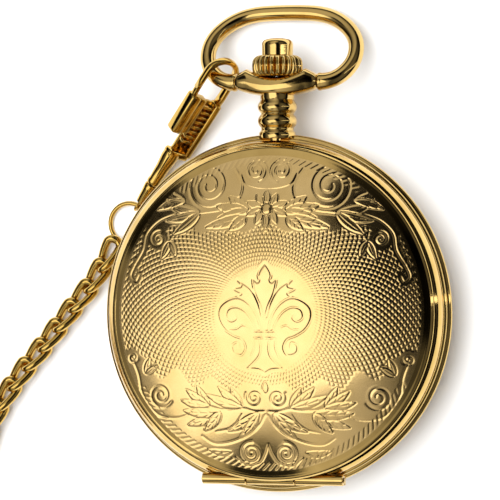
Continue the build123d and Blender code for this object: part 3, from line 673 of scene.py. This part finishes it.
def bottom_scrolls(panel):
    """Spirals, acanthus leaves and sweeping stems below the lattice."""
    panel.spiral((1.6, -11.2), 1.3, 1.8, 30, -1)
    panel.leaf([(0.0, -10.6), (0.0, -9.8), (0.0, -8.9)], 0.45)
    panel.groove([(0.3, -13.0), (1.6, -13.0), (3.4, -12.6), (6.0, -12.8), (9.4, -12.0)], 0.15, 0.12)
    fan(panel, (3.4, -12.5), (52, 30, 8), (3.0, 4.2, 5.2), 0.62, 0.18, 3)
    fan(panel, (8.0, -12.4), (48, 24, 0), (3.2, 4.0, 4.2), 0.58, 0.18, 3)
    panel.spiral((15.0, -11.0), 1.75, 1.9, 210, 1)
    panel.groove([(9.4, -12.6), (12.4, -14.0), (15.6, -13.6), (17.6, -11.4), (18.2, -8.4),
                  (18.9, -6.6)], 0.16, 0.12)
    panel.spiral((19.0, -6.0), 0.75, 1.3, 200, 1)
    fan(panel, (17.2, -8.2), (100, 140), (2.4, 2.2), 0.42, 0.15, 0)
    fan(panel, (6.4, -13.2), (-30, -8, -55), (5.2, 5.4, 3.6), 0.72, 0.16, 4)
    fan(panel, (1.0, -13.2), (-40, -62), (5.2, 4.4), 0.62, 0.2, 4)
    panel.groove([(0.2, -13.4), (1.6, -15.4), (4.6, -17.0), (7.4, -17.4), (9.2, -16.4)], 0.15, 0.12)
    panel.groove([(3.4, -13.4), (4.8, -15.2), (7.2, -15.8)], 0.13, 0.10)
    panel.spiral((2.4, -18.6), 1.5, 2.0, 95, -1)
    panel.groove([(0.0, -17.4), (0.5, -18.8), (1.4, -20.0), (3.2, -20.3), (4.6, -19.2)], 0.14, 0.11)
    panel.leaf([(5.0, -18.4), (6.6, -18.6), (8.6, -18.2)], 0.5, 3)


def rim_hatch(panel, radius, low, high):
    """Slanting hatched border at the rim of the panel, between two angles in degrees."""
    ring = np.abs(panel.radius - radius)
    angle = np.degrees(panel.angle)
    mask = smoothstep(low - 3, low, angle) * (1 - smoothstep(high, high + 3, angle))
    wave = np.abs(np.sin(75 * panel.angle + 3.5 * (panel.radius - radius)))
    inside = ring < 0.5
    return -0.03 * mask * inside * (1 - wave) ** 1.2


def disc_grid(name, radius, count, top, relief, flip=1):
    """Closed round panel with an engraved face, from a square grid pressed into a disc."""
    side = np.linspace(-1, 1, count)
    u, v = np.meshgrid(side, side, indexing="xy")
    wide = np.abs(u) >= np.abs(v)
    big = np.where(wide, u, v)
    share = np.where(wide, v, u) / np.where(np.abs(big) < 1e-12, 1, big)
    turn = math.pi / 4 * share
    turn = np.where(wide, turn, math.pi / 2 - turn)
    x = radius * big * np.cos(turn)
    y = radius * big * np.sin(turn)
    z = top(np.hypot(x, y)) + flip * relief(x, y)
    verts = [tuple(p) for p in np.stack([x, y, z], -1).reshape(-1, 3)]
    index = np.arange(count * count).reshape(count, count)
    faces = []
    for i in range(count - 1):
        rows = zip(index[i, :-1], index[i, 1:], index[i + 1, 1:], index[i + 1, :-1])
        faces += [tuple(int(k) for k in row) for row in rows]
    rim = [*index[0, :], *index[1:, -1], *index[-1, -2::-1], *index[-2:0:-1, 0]]
    above = [int(k) for k in rim]
    n = len(above)
    for size in (1.0, 0.75, 0.5, 0.25, 0.05):
        base = len(verts)
        under = [verts[k][:2] for k in rim]
        for px, py in under:
            r = radius * size
            verts.append((px * size, py * size, float(top(np.float64(r))) - PANEL_DEPTH * flip))
        faces += [(above[(j + 1) % n], above[j], base + j, base + (j + 1) % n) for j in range(n)]
        above = list(range(base, base + n))
    centre = len(verts)
    verts.append((0.0, 0.0, float(top(np.float64(0.0))) - PANEL_DEPTH * flip))
    faces += [(above[(j + 1) % n], above[j], centre) for j in range(n)]
    ob = piece(name, verts, faces)
    clean(ob)
    sharpen(ob, 60)
    return ob


def dome_height(radius):
    """Height of the lid's outer face over the middle plane of the case."""
    ball = (CREASE_R ** 2 + (APEX_Z - CREASE_Z) ** 2) / (2 * (APEX_Z - CREASE_Z))
    return APEX_Z - ball + np.sqrt(ball ** 2 - radius ** 2)


def lid_relief(x, y):
    """Palmette on a lattice band, between scrolls above and below."""
    panel = Panel(x, y)
    palmette(panel)
    top_scrolls(panel)
    bottom_scrolls(panel)
    top_edge = 11.4 + 0.8 * np.cos(1.05 * x)
    low_edge = -10.2 - 1.0 * np.cos(1.25 * (np.abs(x) - 5)) + 0.012 * x ** 2
    band = smoothstep(low_edge - 0.5, low_edge + 0.3, y)
    band *= 1 - smoothstep(top_edge - 0.3, top_edge + 0.5, y)
    band *= smoothstep(4.6, 9.0, panel.radius) * (1 - smoothstep(20.4, 20.8, panel.radius))
    band *= 1 - panel.ornament
    height = panel.height + lattice(panel, band)
    height += rim_hatch(panel, 20.5, 55, 125) + rim_hatch(panel, 20.4, -150, -28)
    edge = 1 - smoothstep(20.8, 21.0, panel.radius)
    return height * edge


def back_relief(x, y):
    """Scrollwork round a plain shield, with a quiet lattice near the rim."""
    panel = Panel(x, -y)
    outer = np.hypot(x / 6.4, y / 7.6)
    shield = np.clip(np.abs(outer - 1) * 6.5, 0, 9)
    panel.height -= 0.09 * np.exp(-(shield / 0.22) ** 2)
    top_scrolls(panel)
    bottom_scrolls(panel)
    band = smoothstep(-10.2, -8.6, panel.y) * (1 - smoothstep(9.2, 10.6, panel.y))
    band *= smoothstep(9.8, 10.6, panel.radius) * (1 - smoothstep(20.0, 20.5, panel.radius))
    band *= 1 - panel.ornament
    height = panel.height + lattice(panel, band)
    height += rim_hatch(panel, 20.2, -180, 180)
    height = np.minimum(height, 0.8 * back_height(panel.radius))
    return height * (1 - smoothstep(20.8, 21.0, panel.radius))


HINGE = Matrix.Translation((0, HINGE_Y, HINGE_Z)) @ Matrix.Rotation(math.pi / 2, 4, "Y")
PANEL_R = 21.05
PANEL_DEPTH = 0.5
BAND_R = CREASE_R - 0.35  # where the domed band turns down to the rim
SHELL = 0.6  # depth of the shell's inner face under the outer one
SKIN = 0.42  # depth of the seat under the engraved panel


def lid():
    """Domed lid: engraved panel, plain rim band, parting lip and hinge knuckle."""
    under = float(dome_height(PANEL_R)) - 0.32
    face = disc_grid("lid_engraving", PANEL_R, 460, dome_height, lid_relief)
    steps = [PANEL_R + (BAND_R - PANEL_R) * k / 4 for k in range(5)]
    outline = [(r, float(dome_height(r))) for r in steps]
    outline += arc((BAND_R, float(dome_height(BAND_R))), (CREASE_R + 0.35, 9.62),
                   (CREASE_R + 0.1, 9.94), 5)
    outline += arc((CREASE_R + 0.35, 9.62), (PARTING_R - 0.03, LID_Z + 0.28), (23.02, 8.75), 8)
    outline += [(PARTING_R, LID_Z + 0.16), (PARTING_R, LID_Z + 0.04), (PARTING_R - 0.06, LID_Z)]
    outline += [(22.35, LID_Z), (22.3, 8.7), (21.7, 9.35)]
    inner = [21.2 * (1 - k / 12) for k in range(12)]
    outline += [(r, float(dome_height(r)) - SHELL) for r in inner] + [(0.0, APEX_Z - SHELL)]
    outline += [(0.0, APEX_Z - SKIN)]
    outline += [(r, float(dome_height(r)) - SKIN) for r in inner[:0:-1]]
    outline += [(PANEL_R, under)]
    shell = lathe("lid_shell", outline, None, 384)
    cutter = box("cutter", (-10.15, -26, 6.0), (10.25, -21.25, 9.55), bevel=0)
    modify(shell, "BOOLEAN", operation="DIFFERENCE", object=cutter, solver="EXACT")
    bpy.data.objects.remove(cutter)
    sharpen(shell)
    knuckle = lathe("lid_knuckle", barrel_outline(-3.6, 3.0), HINGE, 48)
    leaf = box("lid_hinge_leaf", (-3.5, -22.1, 8.9), (2.9, -21.1, 9.3), bevel=0.05)
    return face, shell, joined("lid_knuckle", [knuckle, leaf])


def barrel_outline(start, end):
    """Hinge knuckle with rounded end edges and a bore for the pin."""
    return [(0.36, start), (BARREL_R - 0.1, start), (BARREL_R, start + 0.1),
            (BARREL_R, end - 0.1), (BARREL_R - 0.1, end), (0.36, end)]


for ob in lid():
    material = engraved_gold if ob.name == "lid_engraving" else gold
    finish_piece(ob, material, "lid", "polished_gold", "front_lid")


# ---- case ------------------------------------------------------------------------
def mid_case():
    """Band round the middle of the case, with a rounded bead above and below."""
    outline = [(21.75, 4.3), (21.75, 8.6), (22.2, 8.6), (22.22, 7.75), (22.9, 7.75), (23.1, 7.7)]
    outline += arc((23.15, 7.62), (23.45, 7.1), (23.48, 7.42), 5)
    outline += [(23.5, 6.98), (23.66, 6.92)]
    outline += arc((23.66, 6.92), (23.66, 6.08), (24.0, 6.5), 10)
    outline += [(23.5, 6.02)]
    outline += arc((23.45, 5.9), (23.15, 5.38), (23.48, 5.58), 5)
    outline += [(23.1, 5.3), (22.9, 5.25), (22.22, 5.25), (22.2, 4.3)]
    return lathe("case_band", outline, None, 384)


def case_knuckles():
    """The case's two hinge knuckles on their foot, and the pin through them."""
    left = lathe("knuckle_left", barrel_outline(-9.8, -3.7), HINGE, 48)
    right = lathe("knuckle_right", barrel_outline(3.1, 9.7), HINGE, 48)
    pin = lathe("pin_end", [(0, -9.95), (0.24, -9.95), (0.32, -9.87), (0.32, 9.77),
                            (0.24, 9.85), (0, 9.85)], HINGE, 32)
    feet = box("hinge_foot", (-9.8, -22.9, 7.3), (9.7, -21.9, 7.95), bevel=0.08)
    return joined("case_knuckles", [left, right, feet]), pin


def back_height(radius):
    """Height of the back's outer face, with a flat land it rests on."""
    ball = (CREASE_R ** 2 - LAND_R ** 2) / (2 * 3.0) + 1.5
    centre = math.sqrt(ball ** 2 - LAND_R ** 2)
    rise = centre - np.sqrt(ball ** 2 - np.maximum(radius, LAND_R) ** 2)
    top = centre - math.sqrt(ball ** 2 - CREASE_R ** 2)
    return rise / top * 3.0


def back_cover():
    """Snap-on back: engraved panel and plain shell."""
    over = float(back_height(PANEL_R)) + 0.32
    face = disc_grid("back_engraving", PANEL_R, 300, back_height, back_relief, flip=-1)
    steps = [PANEL_R + (BAND_R - PANEL_R) * k / 4 for k in range(5)]
    outline = [(r, float(back_height(r))) for r in steps]
    outline += arc((BAND_R, float(back_height(BAND_R))), (CREASE_R + 0.35, 3.38),
                   (CREASE_R + 0.1, 3.06), 5)
    outline += arc((CREASE_R + 0.35, 3.38), (PARTING_R - 0.03, 4.87), (23.02, 4.25), 8)
    outline += [(PARTING_R, 4.97), (PARTING_R, 5.1), (PARTING_R - 0.06, 5.15)]
    outline += [(22.35, 5.15), (22.3, 4.3), (21.7, 3.65)]
    inner = [21.2 * (1 - k / 12) for k in range(12)]
    outline += [(r, float(back_height(r)) + SHELL) for r in inner] + [(0.0, SHELL)]
    outline += [(0.0, SKIN)] + [(r, float(back_height(r)) + SKIN) for r in inner[:0:-1]]
    outline += [(PANEL_R, over)]
    return face, lathe("back_shell", outline, None, 320)


finish_piece(mid_case(), gold, "case", "polished_gold", "mid_case")
knuckles, pin = case_knuckles()
finish_piece(knuckles, gold, "case", "polished_gold", "mid_case")
finish_piece(pin, gold, "case", "polished_gold", "hinge_pin")
for ob in back_cover():
    material = engraved_gold if ob.name == "back_engraving" else gold
    finish_piece(ob, material, "case", "polished_gold", "back_cover")


# ---- neck, collar, crown and button ----------------------------------------------
TO_Y = Matrix.Translation((0, 0, MID_Z)) @ Matrix.Rotation(-math.pi / 2, 4, "X")


def neck():
    """Pendant tube with two rounded rings."""
    outline = [(0.9, 22.6), (1.3, 22.6), (1.3, 23.35), (2.42, 23.4), (2.48, 23.5), (2.48, 24.1)]
    outline += arc((2.4, 24.3), (2.27, 24.95), (2.2, 24.6), 5)
    outline += arc((2.27, 24.95), (2.27, 26.55), (2.66, 25.75), 10)
    outline += [(2.22, 26.7)]
    outline += arc((2.27, 26.85), (2.27, 28.45), (2.66, 27.65), 10)
    outline += [(2.24, 28.65), (2.3, 28.8), (2.3, 29.6), (0.9, 29.6)]
    return lathe("neck", outline, TO_Y, 96)


def collar():
    """Boat-shaped collar, thicker in the middle, with a saddle under the crown."""
    xs = [-5.6 + 11.2 * i / 44 for i in range(45)]
    rings = []
    for x in xs:
        share = abs(x) / 5.6
        low = 29.05 + 1.0 * share ** 2.4
        high = 31.72 + 1.08 * min(1.0, (abs(x) / 4.1) ** 2)
        if abs(x) > 4.1:
            high = 32.8 - 0.8 * (abs(x) - 4.1) / 1.5
        depth = 2.55 - 1.0 * share ** 1.6
        if share > 0.995:
            low, high, depth = low + 0.12, high - 0.12, depth - 0.12
        middle, half = (low + high) / 2, (high - low) / 2
        ring = []
        for k in range(28):
            a = 2 * math.pi * k / 28
            c, s = math.cos(a), math.sin(a)
            ring.append(Vector((
                x, middle + half * math.copysign(abs(c) ** 0.55, c),
                MID_Z + depth * math.copysign(abs(s) ** 0.75, s),
            )))
        rings.append(ring)
    verts, faces = loop_skin(rings)
    ob = piece("collar", verts, faces)
    clean(ob)
    sharpen(ob, 45)
    return ob


def crown():
    """Fluted winding crown with rounded ribs."""
    heights = [(31.75, 2.3, 0), (31.8, 2.7, 0.2), (31.95, 3.0, 0.6), (32.2, 3.22, 1),
               (32.6, 3.36, 1), (33.2, 3.4, 1), (33.8, 3.34, 1), (34.15, 3.18, 1),
               (34.4, 2.92, 0.6), (34.55, 2.6, 0.15), (34.6, 2.3, 0)]
    rings = []
    for y, r, share in heights:
        ring = []
        for i in range(288):
            a = 2 * math.pi * i / 288
            rib = abs(math.cos(12 * a)) ** 0.7
            radius = r - 0.6 * share * (1 - rib)
            ring.append(Vector((radius * math.cos(a), y, MID_Z + radius * math.sin(a))))
        rings.append(ring)
    verts, faces = loop_skin(rings)
    ob = piece("crown_ribs", verts, faces)
    clean(ob)
    sharpen(ob, 55)
    return ob


def button():
    """Push button in the crown, with a domed end."""
    outline = [(0, 33.9), (2.0, 33.9), (2.1, 34.0), (2.12, 35.9)]
    outline += arc((2.12, 35.9), (1.5, 36.75), (1.95, 36.5), 6)
    outline += [(1.0, 36.88), (0, 36.9)]
    return lathe("button_cap", outline, TO_Y, 96)


finish_piece(neck(), gold, "case", "polished_gold", "pendant_tube")
finish_piece(collar(), gold, "case", "polished_gold", "bow_collar")
finish_piece(crown(), gold, "crown_unit", "polished_gold", "crown")
finish_piece(button(), gold, "button", "polished_gold", "push_button")


# ---- bow -------------------------------------------------------------------------
def bow():
    """Stirrup of round wire that leans back to the table, a little thicker at its ends."""
    lean = math.radians(BOW_TILT)
    flat = [(-x, l) for x, l in BOW_LINE[::-1]]
    controls = [(x, l) for x, l in BOW_LINE] + [BOW_TOP] + flat
    line = nurbs([
        (x, COLLAR_Y + l * math.cos(lean), MID_Z - l * math.sin(lean)) for x, l in controls
    ], 10)

    def section(share):
        end = min(share, 1 - share)
        size = BOW_WIRE / 2 * (1.0 + 0.10 * math.exp(-(end / 0.035) ** 2))
        return circle(size, 32)

    return swept("bow_wire", line, section)


def bow_pads():
    """Rounded pads between the collar and the ends of the bow."""
    pads = []
    for side in (-1, 1):
        at = Matrix.Translation((0, COLLAR_Y, MID_Z)) @ Matrix.Rotation(math.pi / 2 * side, 4, "Y")
        outline = [(0, 5.62), (1.1, 5.62), (1.2, 5.75), (1.22, 6.0), (1.1, 6.4), (0.8, 6.6),
                   (0, 6.65)]
        pads.append(lathe("bow_pad", outline, at, 48))
    return pads


finish_piece(joined("bow_wire", [bow(), *bow_pads()]), gold, "bow_loop", "polished_gold", "bow")


# ---- clasp -----------------------------------------------------------------------
def clasp_frame():
    """Place of the clasp, and its directions along and aside over the table."""
    heading, slope = math.radians(CLASP_HEADING), math.radians(CLASP_SLOPE)
    along = Vector((math.cos(heading) * math.cos(slope), math.sin(heading) * math.cos(slope),
                    -math.sin(slope)))
    aside = Vector((0, 0, 1)).cross(along).normalized()
    up = along.cross(aside)
    roll = math.radians(CLASP_ROLL)
    y_axis = aside * math.cos(roll) - up * math.sin(roll)
    z_axis = along.cross(y_axis)
    turn = Matrix((along, y_axis, z_axis)).transposed().to_4x4()
    return Matrix.Translation(CLASP_HOOK) @ turn, along, aside


CLASP, ALONG, ASIDE = clasp_frame()
SHANK = CLASP @ Matrix.Translation((0, SHANK_Y, 0)) @ Matrix.Rotation(math.pi / 2, 4, "Y")


def bar_section(width, thick):
    """Points of a flat section with rounded corners."""
    power = 0.6
    ring = []
    for k in range(20):
        a = 2 * math.pi * k / 20
        c, s = math.cos(a), math.sin(a)
        ring.append((width / 2 * math.copysign(abs(c) ** power, c),
                     thick / 2 * math.copysign(abs(s) ** power, s)))
    return ring


def clasp_body():
    """Hook with a long back, block and turned shank, as one pear-shaped clasp."""
    middle = 2.28
    line = [(2.7, -middle, 0), (1.4, -middle, 0)]
    line += [(-middle * math.sin(a), -middle * math.cos(a), 0)
             for a in [math.pi * i / 20 for i in range(21)]]
    line += [(1.4, middle, 0), (3.0, middle, 0), (4.6, middle - 0.1, 0)]
    hook = swept("hook", line, lambda t: bar_section(0.8, 1.0 + 0.5 * t ** 6), CLASP)
    wall = box("wall", (4.2, 1.7, -0.95), (13.1, 2.62, 0.95), CLASP, 0.25)
    plate = box("plate", (4.4, 0.1, -0.95), (12.9, 2.2, -0.4), CLASP, 0.1)
    block = box("block", (12.6, -0.9, -0.95), (13.7, 2.45, 0.95), CLASP, 0.4)
    ribs = [box("rib", (x, 0.15, -0.6), (x + 0.42, 1.85, 0.6), CLASP, 0.12)
            for x in [4.9 + 0.82 * i for i in range(8)]]
    outline = [(0, 13.0), (1.15, 13.05), (1.2, 13.9), (1.0, 15.6), (0.88, 17.8), (0.96, 18.1),
               (0.96, 18.4), (0.85, 18.6), (0, 18.6)]
    shank = lathe("shank", outline, SHANK, 48)
    return joined("clasp_hook", [hook, wall, plate, block, *ribs, shank])


def clasp_slide():
    """Smooth thumb slide beside the ribs, with the bolt that closes the hook."""
    thumb = box("slide_block", (3.7, -2.65, -0.95), (9.9, -1.05, 0.95), CLASP, 0.38)
    bar = box("slide_bar", (3.9, -1.2, -0.8), (9.6, -0.05, 0.8), CLASP, 0.22)
    bolt = box("bolt", (2.78, -2.5, -0.4), (4.3, -1.85, 0.4), CLASP, 0.12)
    return joined("slide_block", [thumb, bar, bolt])


def swivel():
    """Turned rod with an eye, and the centre of the eye."""
    outline = [(0, 18.72), (0.85, 18.75), (0.95, 18.9), (0.9, 19.6), (0.82, 20.4), (0.78, 21.0),
               (0.68, 21.8), (0, 21.9)]
    rod = lathe("rod", outline, SHANK, 40)
    eye_at = CLASP @ Vector((EYE_AT, SHANK_Y, 0))
    eye = wire_ring("eye", eye_at, 0.68, 0.42, ALONG, ALONG.cross(ASIDE))
    return joined("swivel_rod", [rod, eye]), eye_at


def jump_ring(eye_at):
    """Ring through the swivel eye whose far side lies on the table."""
    heading = math.radians(241)
    drop = eye_at.z - RING_WIRE / 2 - 0.02
    slope = math.asin(min(1, drop / (2 * RING_R)))
    out = Vector((math.cos(heading) * math.cos(slope), math.sin(heading) * math.cos(slope),
                  -math.sin(slope)))
    aside = Vector((0, 0, 1)).cross(out).normalized()
    return wire_ring("ring_wire", eye_at + out * RING_R, RING_R, RING_WIRE, out, aside, 96)


finish_piece(clasp_body(), chain_gold, "clasp", "chain_gold", "clasp_body")
finish_piece(clasp_slide(), chain_gold, "slide", "chain_gold", "clasp_slide")
swivel_rod, eye_point = swivel()
finish_piece(swivel_rod, chain_gold, "swivel", "chain_gold", "swivel_eye")
finish_piece(jump_ring(eye_point), chain_gold, "swivel", "chain_gold", "jump_ring")


# ---- the rest of the watch, straight from the CAD --------------------------------
CAD_FINISH = {
    "polished_gold": inner_gold,
    "chain_gold": chain_gold,
    "enamel": enamel,
    "blued_steel": blued,
    "clear_glass": glass,
    "gilt_plate": gilt,
    "wheel_brass": brass,
    "steel": steel,
    "ruby": ruby,
}
for name, node in frame["nodes"].items():
    slot_name = node.data.materials[0].name.split(".")[0]
    node.data.materials.clear()
    node.data.materials.append(CAD_FINISH[slot_name])


# ---- floor, lights and world -----------------------------------------------------
def floor():
    """Plain pale table under the watch."""
    material = Nodes("paper", Roughness=0.7)
    stops = [(0.3, (0.86, 0.865, 0.87, 1)), (0.7, (0.89, 0.895, 0.90, 1))]
    material.link(material.ramp(material.noise(30).outputs["Fac"], stops), "Base Color")
    ob = piece("floor", [(-900, -900, -0.02), (900, -900, -0.02), (900, 900, -0.02),
                         (-900, 900, -0.02)], [(0, 1, 2, 3)], smooth=False)
    ob.data.materials.append(material.material)


def softbox(name, tilt_x, tilt_y, distance, size, power):
    """Rectangular light aimed at the watch; tilts are degrees from straight above."""
    data = bpy.data.lights.new(name, "AREA")
    data.shape = "RECTANGLE"
    data.size, data.size_y = size[0] * MM, size[1] * MM
    data.energy = power
    ob = bpy.data.objects.new(name, data)
    bpy.context.collection.objects.link(ob)
    way = Vector((math.tan(math.radians(tilt_x)), math.tan(math.radians(tilt_y)), 1)).normalized()
    ob.location = way * distance * MM
    ob.rotation_euler = way.to_track_quat("Z", "Y").to_euler()
    return ob


# tilt of each dark patch from straight above, and its inner and outer radius, in degrees
DARK_SPOTS = [((10, 20), 12, 16), ((-45, 25), 7, 11), ((-20, -37), 6, 10), ((17, 4), 9, 14)]


def world():
    """Pale surroundings, dark at the far left, the right and the horizon, with dark patches."""
    w = bpy.data.worlds.new("studio")
    bpy.context.scene.world = w
    w.use_nodes = True
    tree = w.node_tree
    background = tree.nodes["Background"]
    way = tree.nodes.new("ShaderNodeTexCoord").outputs["Generated"]

    def share(direction, low, high):
        dot = tree.nodes.new("ShaderNodeVectorMath")
        dot.operation = "DOT_PRODUCT"
        dot.inputs[1].default_value = direction
        tree.links.new(way, dot.inputs[0])
        node = tree.nodes.new("ShaderNodeMapRange")
        node.interpolation_type = "SMOOTHSTEP"
        node.inputs["From Min"].default_value = low
        node.inputs["From Max"].default_value = high
        tree.links.new(dot.outputs["Value"], node.inputs["Value"])
        return node.outputs["Result"]

    def times(a, b):
        node = tree.nodes.new("ShaderNodeMath")
        node.operation = "MULTIPLY"
        tree.links.new(a, node.inputs[0])
        tree.links.new(b, node.inputs[1])
        return node.outputs["Value"]

    ramp = tree.nodes.new("ShaderNodeValToRGB")
    tree.links.new(share((1, 0, 0), -1.0, 1.0), ramp.inputs["Fac"])
    stops = [(0.0, 0.06), (0.12, 0.55), (0.45, 0.72), (0.60, 0.46), (0.70, 0.06), (0.90, 0.14)]
    while len(ramp.color_ramp.elements) < len(stops):
        ramp.color_ramp.elements.new(0.5)
    for element, (position, value) in zip(ramp.color_ramp.elements, stops):
        element.position = position
        element.color = (value, value, value, 1)
    light = times(ramp.outputs["Color"], share((0, 0, 1), 0.12, 0.62))
    for (tilt_x, tilt_y), inner, outer in DARK_SPOTS:
        at = Vector((math.tan(math.radians(tilt_x)), math.tan(math.radians(tilt_y)), 1))
        edge, core = math.cos(math.radians(outer)), math.cos(math.radians(inner))
        dark = share(at.normalized(), edge, core)
        keep = tree.nodes.new("ShaderNodeMapRange")
        keep.inputs["To Min"].default_value = 1.0
        keep.inputs["To Max"].default_value = 0.03
        tree.links.new(dark, keep.inputs["Value"])
        light = times(light, keep.outputs["Result"])
    tree.links.new(light, background.inputs["Strength"])
    background.inputs["Color"].default_value = (1.0, 0.985, 0.955, 1)


floor()
softbox("key", -19, -7, 900, (520, 800), 1.4)
softbox("side", 62, 10, 900, (40, 800), 0.25)
fill = softbox("fill", -6, 8, 1500, (1600, 1600), 40.0)
fill.visible_glossy = False
world()
bpy.context.scene.view_settings.view_transform = "Standard"
